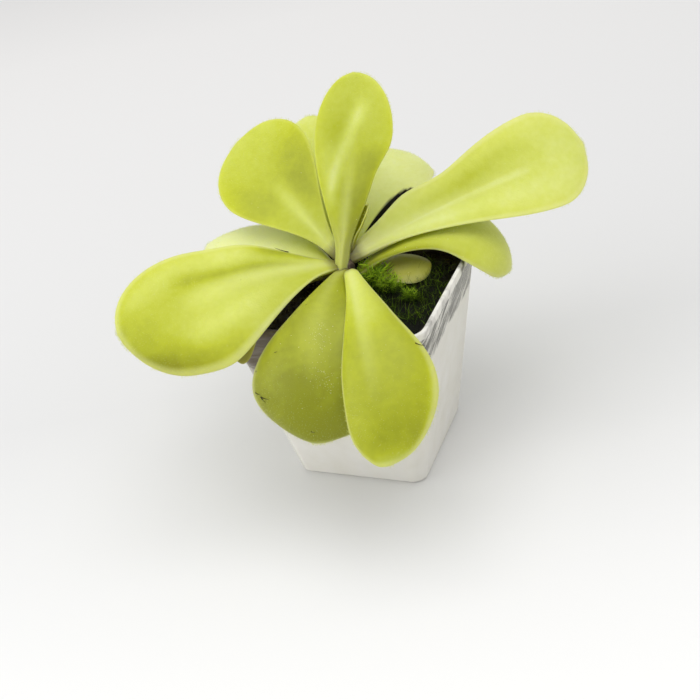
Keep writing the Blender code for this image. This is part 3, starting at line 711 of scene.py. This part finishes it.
def shape_leaf(leaf):
    """A flat grid whose rows are cupped, tilted and set along the midrib one by one."""
    shares = stations(leaf)
    rows = len(shares)
    obj = start_edit(bpy.ops.mesh.primitive_grid_add, x_subdivisions=rows - 1,
                     y_subdivisions=COLUMNS, size=2)
    row_x = [2 * k / (rows - 1) - 1 for k in range(rows)]
    for column in range(COLUMNS + 1):
        even = 2 * column / COLUMNS - 1
        y = across_of(column)
        pick(obj, lambda vert: abs(vert.co.y - even) < 0.01 and vert.co.z == 0)
        move(y=y - even, z=y * y)
    for sign in (1, -1):
        pick(obj, lambda vert: vert.co.y * sign > 0.01)
        scale(1, 1 + sign * leaf.lean, 1 + sign * leaf.lean)
    bm = bmesh.from_edit_mesh(obj.data)
    row_of = {vert.index: round((vert.co.x + 1) / 2 * (rows - 1)) for vert in bm.verts}
    for row, (share, point) in enumerate(zip(shares, midrib(leaf, shares))):
        pick(obj, lambda vert: row_of[vert.index] == row)
        reach = half_width(leaf, share)
        spread = max(0.0, share)
        cup = math.radians(leaf.cup[0] + (leaf.cup[1] - leaf.cup[0]) * spread) or 0.001
        roll = leaf.roll[0] + (leaf.roll[1] - leaf.roll[0]) * spread
        pitch, bend = heading(leaf, share)
        move(x=-row_x[row])
        scale(1, reach * math.sin(cup) / cup, reach * (1 - math.cos(cup)) / cup)
        for side in (1, -1):
            wider = flare(leaf, side, share)
            pick(obj, lambda vert: row_of[vert.index] == row and vert.co.y * side > 0)
            scale(1, wider, wider)
        pick(obj, lambda vert: row_of[vert.index] == row)
        turn(roll, "X")
        turn(-math.degrees(pitch), "Y")
        turn(math.degrees(bend), "Z")
        move(*point)
    bpy.ops.mesh.select_all(action="SELECT")
    turn(leaf.azimuth, "Z")
    move(*CROWN)
    bpy.ops.object.mode_set(mode="OBJECT")
    obj.name = obj.data.name = leaf.name + "_blade"
    return obj, shares


def weights(obj, name, rows, value):
    """A vertex group whose weight is value(row, place across)."""
    group = obj.vertex_groups.new(name=name)
    for vert in obj.data.vertices:
        row, column = vert.index % rows, vert.index // rows
        group.add([vert.index], value(row, across_of(column)), "REPLACE")


def relief(leaf, share, across):
    """Height of the upper face in millimetres: a pillow that meets the outline, and a channel."""
    past = max(0.0, (share - leaf.widest) / (1 - leaf.widest))
    out = math.sqrt(across * across * (1 - past * past) + past * past)
    side = ease(-0.3, 0.3, across)
    pillow = leaf.pillow[0] * (1 - side) + leaf.pillow[1] * side
    depth, place, half = leaf.groove
    channel = depth * math.exp(-(((across - place) / half) ** 2)) * (1 - ease(0.5, 0.95, share))
    return (pillow * (1 - out**3.5) - channel * (1 - out**4)) * ease(0.1, 0.5, share)


def thicken_leaf(obj, leaf, shares, ripple):
    """Relief, slow ripples, then flesh: thick at the foot and thin at the rim."""
    rows = len(shares)
    weights(obj, "raised", rows, lambda row, across:
            max(0.0, relief(leaf, shares[row], across) / RELIEF))
    weights(obj, "sunk", rows, lambda row, across:
            max(0.0, -relief(leaf, shares[row], across) / RELIEF))
    weights(obj, "flesh", rows, lambda row, across:
            RIM_FLESH + (1 - across**4)
            * (FOOT_FLESH * (1 - ease(0.0, 0.45, shares[row])) + BLADE_FLESH))
    weights(obj, "blade", rows, lambda row, across: ease(0.15, 0.6, shares[row]))
    modify(obj, "DISPLACE", strength=RELIEF * MM, mid_level=0.0, vertex_group="raised")
    modify(obj, "DISPLACE", strength=-RELIEF * MM, mid_level=0.0, vertex_group="sunk")
    modify(obj, "DISPLACE", strength=RIPPLE, mid_level=0.5, vertex_group="blade",
           texture=ripple, texture_coords="LOCAL")
    modify(obj, "SOLIDIFY", thickness=leaf.foot[2] * (0.6 if leaf.old else 1.0) * MM, offset=0.0,
           vertex_group="flesh", material_offset=1, material_offset_rim=0, use_even_offset=False)
    modify(obj, "SUBSURF", levels=2, render_levels=2)


def streak_light_shade(leaf, share, across):
    """Tone of the leaf's painted streaks of highlight, fold shade and cast shadow, each soft and
    along the blade.
    """
    total = np.zeros(len(share))
    for amount, first, last, half, start, end in leaf.light_shade_streaks:
        along = np.clip((share - start) / (end - start), 0, 1)
        middle = first + (last - first) * along
        inner = np.minimum(share - start, end - share) + STREAK_EDGE
        run = np.clip(inner / (2 * STREAK_EDGE), 0, 1)
        total += amount * np.exp(-(((across - middle) / half) ** 2)) * run * run * (3 - 2 * run)
    return total


def slit_shade_strip(share, across):
    """Painted shade: how far a dark strip covers the tissue, a strip that narrows towards the tip
    and ends before it.
    """
    inner = np.interp(share, (0.0, 0.2, 0.4, 0.5, 0.6), (-0.66, -0.74, -0.7, -0.77, -1.2))
    return np.clip((inner - across) / 0.05 + 0.5, 0, 1)


def colour_leaf(obj, leaf, shares):
    """Attributes for the leaf's colours: how pale it is, with painted light and shade in it, its
    midrib band and its dark parts, which are partly painted shade.
    """
    mesh = obj.data
    rows = len(shares)
    uv = np.empty(len(mesh.loops) * 2)
    mesh.uv_layers["UVMap"].data.foreach_get("uv", uv)
    corner = np.empty(len(mesh.loops), int)
    mesh.loops.foreach_get("vertex_index", corner)
    spot = np.zeros((len(mesh.vertices), 2))
    spot[corner] = uv.reshape(-1, 2)
    share = np.interp(spot[:, 0] * (rows - 1), range(rows), shares)
    across = np.sin(math.pi * (spot[:, 1] - 0.5))
    past = np.clip((share - leaf.widest) / (1 - leaf.widest), 0, 1)
    from_root = (share - leaf.trim) * leaf.length + min(TINGE_SHADE_DEPTH, leaf.foot[0])
    values = {
        "share": share, "across": across,
        "out": (0.9 + 0.1 * leaf.glow) * np.sqrt(across**2 * (1 - past**2) + past**2),
        "tone": np.interp(share, (0.0, 0.5, 1.0), leaf.tone) + streak_light_shade(leaf, share, across),
        "band": np.full(len(share), leaf.band),
        "cream": 0.65 * leaf.cream * (1 - np.clip((share - 0.02) / 0.2, 0, 1)) ** 1.5,
        "foot_tinge_shade": 0.8 * leaf.foot_tinge_shade * np.clip(1.5 - from_root / TINGE_SHADE_REACH, 0, 1),
        "painted_slit_shade": slit_shade_strip(share, across) * float(leaf.painted_slit_shade),
    }
    for name, value in values.items():
        paint(obj, name, value)


def build_leaf(leaf, surfaces, ripple):
    """One leaf's blade, with its upper and under materials."""
    obj, shares = shape_leaf(leaf)
    obj.data.materials.append(surfaces["old_leaf" if leaf.old else "leaf"])
    obj.data.materials.append(surfaces["low_shaded_under" if leaf.old else "leaf_under"])
    thicken_leaf(obj, leaf, shares, ripple)
    colour_leaf(obj, leaf, shares)
    smooth(obj)
    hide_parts(leaf.name)
    return obj


def scatter_on(mesh, per_area, rng):
    """Random (point, normal, face) places on a blade's upper face."""
    found = []
    for face in mesh.polygons:
        chance = per_area(face) * face.area
        count = int(chance) + (rng.random() < chance % 1)
        if not count or face.material_index:
            continue
        corners = [mesh.vertices[index].co for index in face.vertices]
        for _ in range(count):
            u, v = rng.random(), rng.random()
            point = corners[0].lerp(corners[1], u).lerp(corners[3].lerp(corners[2], u), v)
            found.append((point, face.normal, face))
    return found


def hair_shape():
    """A stalked gland one unit tall: a stalk that widens into a bead, from a three-sided cone."""
    obj = start_edit(bpy.ops.mesh.primitive_cone_add, vertices=3, radius1=0.08, radius2=0.0,
                     depth=0.25, location=(0, 0, 0.875), end_fill_type="NGON")
    pick(obj, lambda vert: vert.co.z < 0)
    bpy.ops.mesh.delete(type="ONLY_FACE")
    pick(obj, lambda vert: vert.co.z < 0)
    extrude(z=-0.75)
    bpy.ops.mesh.merge(type="CENTER")
    return shape_of(finish_edit(obj, "gland"))


def drop_shape():
    """A drop of mucilage, a little flattened."""
    obj = start_edit(bpy.ops.mesh.primitive_ico_sphere_add, subdivisions=2, radius=1.0)
    bpy.ops.mesh.select_all(action="SELECT")
    scale(1, 1, 0.8)
    return shape_of(finish_edit(obj, "drop"))


def inside_frame(point, slack=0.0):
    """Whether a point lies in the object's box."""
    low, high = cad_box
    return all(low[k] + slack <= point[k] <= high[k] - slack for k in range(3))


def build_hairs(leaf, blade, gland, rng):
    """The pile on the outer half of a blade: thin over its upper face, close along its margin."""
    uv = blade.data.uv_layers["UVMap"].data

    def pile_at(face):
        """How far along the blade a face lies, and the pile that grows on it."""
        spots = [uv[index].uv for index in face.loop_indices]
        across = abs(sum(spot.y for spot in spots) / len(spots) - 0.5) * 2
        along = sum(spot.x for spot in spots) / len(spots)
        return along, RIM_PILE if max(across, along) > RIM_FROM else FACE_PILE

    def density(face):
        along, pile = pile_at(face)
        return pile.per_mm2 / MM**2 * ease(0.5, 0.78, along)

    places = []
    for point, normal, face in scatter_on(blade.data, density, rng):
        pile = pile_at(face)[1]
        lean = Vector((rng.gauss(0, 1), rng.gauss(0, 1), rng.gauss(0, 1))) * pile.lean
        direction = (normal + lean).normalized()
        length = pile.length * rng.uniform(0.5, 1.2)
        if inside_frame(point + direction * length):
            places.append((0, standing(point - direction * 0.03 * MM, direction,
                                       (pile.width, pile.width, length),
                                       rng.uniform(0, 2 * math.pi))))
    obj = copies(leaf.name + "_glands", [gland], places)
    return obj


def build_dew(blades, drop, rng):
    """Drops of mucilage on the upper faces, some of them gathered in patches."""
    places = []
    for leaf, blade in blades:
        area = sum(face.area for face in blade.data.polygons if face.material_index == 0)
        share, across = painted(blade, "share"), painted(blade, "across")

        def density(face):
            spot = face.vertices[0]
            total = leaf.dew / area
            for at_share, at_across, spread, count in leaf.beads:
                away = math.hypot((share[spot] - at_share) * leaf.length,
                                  (across[spot] - at_across) * leaf.width / 2) / spread
                total += count / (math.pi * (spread * MM) ** 2) * math.exp(-away * away)
            return total

        for point, normal, _ in scatter_on(blade.data, density, rng):
            size = rng.uniform(*DROP_RADIUS)
            if inside_frame(point, size):
                places.append((0, standing(point + normal * size * 0.5, normal, (size,) * 3)))
    return copies("mucilage_drops", [drop], places)


def spot_on(blade, share, across):
    """Point and normal of the upper face nearest to a share of the length and a place across."""
    upper = np.ones(len(blade.data.vertices), bool)
    for face in blade.data.polygons:
        if face.material_index:
            upper[list(face.vertices)] = False
    away = np.hypot(painted(blade, "share") - share, (painted(blade, "across") - across) * 0.3)
    vert = blade.data.vertices[int(np.argmin(away + ~upper * 10.0))]
    return vert.co.copy(), vert.normal.copy()


def build_debris(blades, fibre, scrap):
    """Bits of dark fibre caught on the sticky leaves, and one pale dry scrap."""
    by_name = {leaf.name: blade for leaf, blade in blades}
    places = []
    for kind, (name, start, end) in [(0, bit) for bit in FIBRES] + [(1, bit) for bit in SCRAPS]:
        first, normal = spot_on(by_name[name], *start)
        last, _ = spot_on(by_name[name], *end)
        length = (last - first).length
        if kind == 0:
            wide = min(length, FIBRE_WIDTH)
            place = standing(first + normal * FIBRE_LIFT, last - first, (wide, wide, length), 1.0)
        else:
            place = standing((first + last) / 2 + normal * SCRAP_LIFT, last - first,
                             (SCRAP_WIDTH, SCRAP_THICKNESS, length))
        places.append((kind, place))
    return copies("caught_debris", [fibre, scrap], places, "pale", [kind for kind, _ in places])


# ---------------------------------------------------------------- pot

def build_pot():
    """Raised from a rounded square plate: foot, wall, rim band, then down the inside."""
    foot_side = POT_BASE_SIDE - 2 * POT_FOOT
    obj = start_edit(bpy.ops.mesh.primitive_plane_add, size=foot_side)
    bpy.ops.mesh.select_all(action="SELECT")
    bpy.ops.mesh.bevel(offset=POT_CORNER, segments=5, affect="VERTICES")
    band = POT_HEIGHT - POT_RIM_BAND
    wall_side = POT_TOP_SIDE - 2 * POT_RIM_STEP
    under_band = POT_BASE_SIDE + (wall_side - POT_BASE_SIDE) * band / POT_HEIGHT
    outer = ((POT_BASE_SIDE, POT_FOOT), (under_band, band - POT_RIM_STEP),
             (POT_TOP_SIDE, band), (POT_TOP_SIDE, POT_HEIGHT))
    side, height = foot_side, 0.0
    for next_side, next_height in outer:
        extrude(z=next_height - height)
        scale(next_side / side, next_side / side, 1)
        side, height = next_side, next_height
    bpy.ops.mesh.inset(thickness=POT_WALL)
    inner_side = side - 2 * POT_WALL
    floor_side = POT_BASE_SIDE - 2 * POT_WALL
    extrude(z=POT_FLOOR - POT_HEIGHT)
    scale(floor_side / inner_side, floor_side / inner_side, 1)
    # recessed underside, which leaves a foot ring
    pick(obj, lambda vert: vert.co.z < 0.01 * MM)
    bpy.ops.mesh.inset(thickness=POT_FOOT_RING)
    move(z=POT_RECESS)
    pick(obj, lambda vert: vert.co.z > POT_HEIGHT - 0.01 * MM)
    bpy.ops.mesh.bevel(offset=POT_LIP, segments=3, affect="EDGES")
    obj = finish_edit(obj, "nursery_pot")
    for x, y in CORNERS:
        bpy.ops.object.select_all(action="DESELECT")
        bpy.ops.mesh.primitive_cylinder_add(
            vertices=32, radius=DRAIN_RADIUS, depth=4 * POT_FLOOR,
            location=(x * DRAIN_OFFSET, y * DRAIN_OFFSET, POT_FLOOR))
        cutter = bpy.context.active_object
        modify(obj, "BOOLEAN", operation="DIFFERENCE", object=cutter)
        bpy.data.objects.remove(cutter, do_unlink=True)
    inside = obj.data.attributes.new("inside", "FLOAT", "FACE")
    for face, value in zip(obj.data.polygons, inside.data):
        centre, normal = face.center, face.normal
        value.value = float(centre.x * normal.x + centre.y * normal.y < -0.5 * MM)
    smooth(obj, 32)
    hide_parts("pot")
    return obj


# ---------------------------------------------------------------- soil and moss

def build_soil(lumps, grit):
    """A block of peat whose top is a fine grid, heaved into lumps."""
    obj = start_edit(bpy.ops.mesh.primitive_grid_add, x_subdivisions=60, y_subdivisions=60,
                     size=SOIL_SIDE, location=(0, 0, SOIL_TOP))
    cut = SOIL_SIDE * SOIL_CUT
    for x, y in CORNERS:
        bpy.ops.mesh.select_all(action="SELECT")
        bpy.ops.mesh.bisect(plane_co=(x * cut, y * cut, 0), plane_no=(x, y, 0), clear_outer=True)
    bpy.ops.mesh.select_all(action="SELECT")
    extrude(z=POT_FLOOR + SOIL_GAP - SOIL_TOP)
    base = (POT_BASE_SIDE - 2 * POT_WALL - SOIL_EASE) / SOIL_SIDE
    scale(base, base, 1)
    bpy.ops.mesh.dissolve_limited(angle_limit=math.radians(1))  # the underside, one flat face
    obj = finish_edit(obj, "peat_block")
    group = obj.vertex_groups.new(name="top")
    top = [vert.index for vert in obj.data.vertices if vert.co.z > SOIL_TOP - 0.1 * MM]
    group.add(top, 1.0, "REPLACE")
    modify(obj, "DISPLACE", strength=1.6 * MM, mid_level=0.55, vertex_group="top",
           direction="Z", texture=lumps, texture_coords="LOCAL")
    modify(obj, "DISPLACE", strength=0.7 * MM, mid_level=0.5, vertex_group="top",
           direction="Z", texture=grit, texture_coords="LOCAL")
    smooth(obj, 60)
    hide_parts("soil")
    return obj


def crumb_shapes():
    """Four rough lumps."""
    found = []
    for seed in range(4):
        obj = start_edit(bpy.ops.mesh.primitive_ico_sphere_add, subdivisions=1, radius=0.5)
        bpy.ops.mesh.select_all(action="SELECT")
        bpy.ops.transform.vertex_random(offset=0.22, seed=seed)
        found.append(shape_of(finish_edit(obj, "crumb")))
    return found


def build_crumbs(shapes, rng):
    """Bark fines and peat crumbs lying on the soil, most of them under 1 mm."""
    places = []
    half = SOIL_SIDE / 2 - 0.6 * MM
    while len(places) < CRUMBS:
        x, y = rng.uniform(-half, half), rng.uniform(-half, half)
        if abs(x) + abs(y) > half * 1.78:
            continue  # past the block's cut corners
        size = MM * min(1.9, 0.45 + abs(rng.gauss(0, 0.35)))
        z = SOIL_TOP + rng.uniform(-0.3, 0.35) * MM
        direction = (rng.gauss(0, 1), rng.gauss(0, 1), rng.gauss(0, 1))
        kind = rng.randrange(len(shapes))
        sides = (size, size * rng.uniform(0.5, 1), size * rng.uniform(0.4, 0.9))
        places.append((kind, standing((x, y, z), direction, sides)))
    obj = copies("peat_crumbs", shapes, places)
    return obj


def thread(bow, joints, radius):
    """A three-sided thread one unit tall that bows to one side and thins to a point."""
    obj = start_edit(bpy.ops.mesh.primitive_circle_add, vertices=3, radius=radius,
                     fill_type="NGON")
    bpy.ops.mesh.select_all(action="SELECT")
    for joint in range(joints):
        extrude(x=bow * (2 * joint + 1) / joints**2, z=1 / joints)
        bm = bmesh.from_edit_mesh(obj.data)
        centre = sum((vert.co for vert in bm.verts if vert.select), Vector()) / 3
        shrink = 0.8 if joint < joints - 1 else 0.3
        scale(shrink, shrink, shrink, centre)
    return shape_of(finish_edit(obj, "thread"))


def shoot_shape(seed):
    """A young moss shoot: a bowed thread with fine needles round it."""
    rng = random.Random(seed)
    bow = 0.15 + 0.15 * (seed % 3)
    points, faces = thread(bow, 4, 0.035)
    needle, needle_faces = thread(0.12, 2, 0.08)
    groups, count = [points], len(points)
    needles = 7
    for index in range(needles):
        height = 0.2 + 0.75 * index / needles
        spin = index * 2.4
        out = Vector((math.cos(spin), math.sin(spin), rng.uniform(0.6, 1.3)))
        length = rng.uniform(0.3, 0.5)
        m = np.array(standing((bow * height * height, 0, height), out, (length,) * 3))
        groups.append(needle @ m[:3, :3].T + m[:3, 3])
        faces = faces + [tuple(corner + count for corner in face) for face in needle_faces]
        count += len(needle)
    return np.concatenate(groups), faces


def moss_floor(x, y):
    """Thickness share of the cushion at a place: full in the middle, nothing past its edge."""
    across = (x - MOSS_CENTRE.x) / MOSS_HALF.x
    along = (y - MOSS_CENTRE.y) / MOSS_HALF.y
    return max(0.0, 1 - (abs(across) ** 3 + abs(along) ** 3))


def youth(x, y):
    """How young the moss is: it grows by the crown, and in one tuft away from it."""
    start, end = YOUNG_MOSS
    along = min(1.0, max(0.0, (Vector((x, y)) - start).dot(end - start)
                         / (end - start).length_squared))
    by_crown = (Vector((x, y)) - start.lerp(end, along)).length / YOUNG_SPREAD
    by_tuft = (Vector((x, y)) - MOSS_TUFT).length / TUFT_SPREAD
    return max(math.exp(-(by_crown**2)), 0.75 * math.exp(-(by_tuft**2)))


def moss_cushion(lumps):
    """The low lumpy cushion that the shoots grow from, thin at its edge."""
    obj = start_edit(bpy.ops.mesh.primitive_grid_add, x_subdivisions=22, y_subdivisions=44,
                     size=2, location=ORIGIN)
    bpy.ops.mesh.select_all(action="SELECT")
    scale(MOSS_HALF.x, MOSS_HALF.y, 1)
    move(MOSS_CENTRE.x, MOSS_CENTRE.y, SOIL_TOP - MOSS_SEAT)
    extrude(z=MOSS_THICKNESS)
    obj = finish_edit(obj, "moss_cushion")
    group = obj.vertex_groups.new(name="top")
    for vert in obj.data.vertices:
        if vert.co.z > SOIL_TOP:
            full = moss_floor(vert.co.x, vert.co.y) ** 0.5
            group.add([vert.index], full, "REPLACE")
            vert.co.z -= (1 - full) * MOSS_EDGE
    modify(obj, "DISPLACE", strength=1.6 * MM, mid_level=0.35, vertex_group="top",
           direction="Z", texture=lumps, texture_coords="LOCAL")
    smooth(obj)
    paint(obj, "young", [0.45 * youth(vert.co.x, vert.co.y) - 0.1 for vert in obj.data.vertices])
    return obj


def moss_places(shoots, threads, rng):
    """Where the young shoots and then the old threads stand, and how young each one is."""
    places, young = [], []
    while len(places) < YOUNG_SHOOTS + OLD_THREADS:
        x = MOSS_CENTRE.x + rng.uniform(-1.5, 1) * MOSS_HALF.x
        y = MOSS_CENTRE.y + rng.uniform(-1, 1) * MOSS_HALF.y
        full, age = moss_floor(x, y), youth(x, y)
        is_shoot = len(places) < YOUNG_SHOOTS
        if rng.random() > (age if is_shoot else full**0.5):
            continue
        spin = rng.uniform(0, 2 * math.pi)
        z = SOIL_TOP + MOSS_ROOT * full**0.5
        if is_shoot:
            # tallest and fullest next to the crown
            tall = 1 + max(0.0, 1 - (Vector((x, y)) - YOUNG_MOSS[0]).length / TALL_REACH)
            size = rng.uniform(*SHOOT_HEIGHT) * (0.5 + age) * tall
            lean = (rng.gauss(0, 0.35), rng.gauss(0, 0.35), 1)
            kind = rng.randrange(shoots)
        else:
            size = rng.uniform(*THREAD_LENGTH)
            lean = (rng.gauss(0, 0.8), rng.gauss(0, 0.8), 1)
            kind = shoots + rng.randrange(threads)
        places.append((kind, standing((x, y, z), lean, (size,) * 3, spin)))
        young.append(min(1.0, age * rng.uniform(0.6, 1.3)) if is_shoot
                     else rng.choice(THREAD_GREENS))
    return places, young


def build_moss(lumps, rng):
    """A low cushion with young shoots by the crown and loose old threads elsewhere."""
    obj = moss_cushion(lumps)
    shoots = [shoot_shape(seed) for seed in range(4)]
    threads = [thread(bow, 6, 0.022) for bow in (0.35, 0.6, 0.9)]
    places, young = moss_places(len(shoots), len(threads), rng)
    pile = copies("moss_shoots", shoots + threads, places, "young", young)
    bpy.ops.object.select_all(action="DESELECT")
    pile.select_set(True)
    obj.select_set(True)
    bpy.context.view_layer.objects.active = obj
    bpy.ops.object.join()
    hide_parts("moss")
    return obj


def build_crown():
    """The short stem under the leaves, ringed with the scars of old ones."""
    foot = SOIL_TOP - STEM_SEAT
    centre = (CROWN.x, CROWN.y, foot)
    obj = start_edit(bpy.ops.mesh.primitive_circle_add, vertices=14, radius=STEM_RADIUS,
                     fill_type="NGON", location=centre)
    bpy.ops.mesh.select_all(action="SELECT")
    for ring in range(STEM_RINGS):
        extrude(z=(STEM_TOP - foot) / STEM_RINGS)
        swell = (1.12, 0.93)[ring % 2] if ring < STEM_RINGS - 1 else 0.5
        scale(swell, swell, 1, centre)
    obj = finish_edit(obj, "crown_stem")
    modify(obj, "SUBSURF", levels=2, render_levels=2)
    smooth(obj)
    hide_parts("stem")
    return obj


# ---------------------------------------------------------------- stage, light and camera

def build_stage():
    """A pale sheet; indirect light sees it darker, as if it lay far below."""
    bpy.ops.object.select_all(action="DESELECT")
    bpy.ops.mesh.primitive_plane_add(size=6.0)
    floor = bpy.context.active_object
    floor.name = "floor"
    surface, tree, shader, where = material("pale_paper", Roughness=0.9, Specular_IOR_Level=0.1)
    turned = node(tree, "Mapping", {"Vector": where,
                                    "Rotation": (0, 0, -math.radians(VIEW_AZIMUTH))})
    depth = node(tree, "SeparateXYZ", {0: turned}, "Y")
    # painted light on the backdrop: palest nearest the camera, darker just past the pot, a little
    # paler far off
    level = node(tree, "MapRange", {0: depth, 1: -0.1, 2: 0.45, 3: 0.0, 4: 1.0})
    shade = node(tree, "ValToRGB", {0: level},
                 stops=((0.0, "#F5F5F4"), (0.25, "#E0E0E0"), (1.0, "#EDECEB")))
    seen = node(tree, "LightPath", output="Is Camera Ray")
    shade = node(tree, "Mix", {0: seen, 6: "#DFDED8", 7: shade}, 2, data_type="RGBA")
    tree.links.new(shade, shader.inputs["Base Color"])
    floor.data.materials.append(surface)


def area_light(name, power, size, place, aim, colour):
    """A square lamp turned towards its aim."""
    light = bpy.data.lights.new(name, "AREA")
    light.energy, light.size, light.color = power, size, colour
    obj = bpy.data.objects.new(name, light)
    obj.location = place
    obj.rotation_euler = (Vector(aim) - Vector(place)).to_track_quat("-Z", "Y").to_euler()
    bpy.context.scene.collection.objects.link(obj)


def light_scene():
    """A pale room, one large soft lamp overhead and a weaker one at the left."""
    scene = bpy.context.scene
    scene.world = bpy.data.worlds.new("studio")
    scene.world.use_nodes = True
    background = scene.world.node_tree.nodes["Background"]
    background.inputs["Color"].default_value = (0.985, 0.99, 1.0, 1)
    background.inputs["Strength"].default_value = 0.62
    area_light("overhead", 7.3, 1.2, (0.05, -0.12, 1.15), (0, 0, 0.04), (1.0, 0.99, 0.97))
    area_light("side", 1.5, 0.6, (-0.5, -0.42, 0.36), (0, 0, 0.06), (1.0, 1.0, 1.0))
    scene.view_settings.view_transform = "Standard"


def build_camera():
    """Looks down past the front right corner, rolled a little, as at a pot held up in a hand."""
    azimuth, elevation, roll = map(math.radians, (VIEW_AZIMUTH, VIEW_ELEVATION, VIEW_ROLL))
    right = Vector((math.cos(azimuth), math.sin(azimuth), 0))
    back = Vector((math.sin(azimuth) * math.cos(elevation),
                   -math.cos(azimuth) * math.cos(elevation), math.sin(elevation)))
    up = back.cross(right)
    right, up = (math.cos(roll) * right + math.sin(roll) * up,
                 math.cos(roll) * up - math.sin(roll) * right)
    place = (Vector((0, 0, POT_HEIGHT / 2)) + back * VIEW_DISTANCE - right * VIEW_LEFT
             + up * VIEW_RAISED)
    camera = bpy.data.cameras.new("camera")
    camera.sensor_width, camera.lens = 36.0, 54.0
    camera.clip_start, camera.clip_end = 0.01, 10
    obj = bpy.data.objects.new("camera", camera)
    obj.matrix_world = Matrix.Translation(place) @ Matrix((right, up, back)).transposed().to_4x4()
    bpy.context.scene.collection.objects.link(obj)
    bpy.context.scene.camera = obj


# ---------------------------------------------------------------- build

surfaces = {
    "leaf": leaf_material("leaf_upper", "#8C9207", "#B7BF20", "#CFD762", "#E3EAA4", "#D8DE88",
                          "#D2D38E", "#E2E7A2"),
    "leaf_under": leaf_material("leaf_under", "#949714", "#B6BD34", "#CDD56A", "#DEE59C",
                                "#CFD582", "#CFCF8E", "#DEE39E"),
    # darker palette for the lower leaves: painted shade, as they lie under the others
    "old_leaf": leaf_material("low_shaded_leaf_upper", "#6C6A14", "#8D8C24", "#ABAA40", "#B8B762",
                              "#ABA956", "#989452", "#A8A85C"),
    "low_shaded_under": leaf_material("low_shaded_leaf_under", "#625E0E", "#7C781A", "#94933A", "#A09E56",
                               "#929048", "#88844A", "#9A9950"),
}
made = []
ripple = clouds("ripple", 11 * MM, 1)
lumps = clouds("lumps", 5 * MM)
grit = clouds("grit", 1.2 * MM)
rng = random.Random(7)
gland, drop = hair_shape(), drop_shape()
hair = hair_material()
blades = []
for leaf in LEAVES:
    blade = build_leaf(leaf, surfaces, ripple)
    blades.append((leaf, blade))
    made.append(blade)
    if not leaf.old:
        hairs = build_hairs(leaf, blade, gland, rng)
        hairs.data.materials.append(hair)
        made.append(hairs)
dew = build_dew(blades, drop, rng)
dew.data.materials.append(dew_material())
smooth(dew)
debris = build_debris(blades, thread(0.3, 5, 0.09), crumb_shapes()[0])
debris.data.materials.append(debris_material())
pot = build_pot()
pot.data.materials.append(pot_material())
peat = peat_material()
soil = build_soil(lumps, grit)
crumbs = build_crumbs(crumb_shapes(), rng)
for obj in (soil, crumbs):
    obj.data.materials.append(peat)
moss = build_moss(lumps, rng)
moss.data.materials.append(moss_material())
crown = build_crown()
crown.data.materials.append(crown_material())
made += [dew, debris, pot, soil, crumbs, moss, crown]
for obj in made:
    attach(obj, BODY)
build_stage()
light_scene()
build_camera()
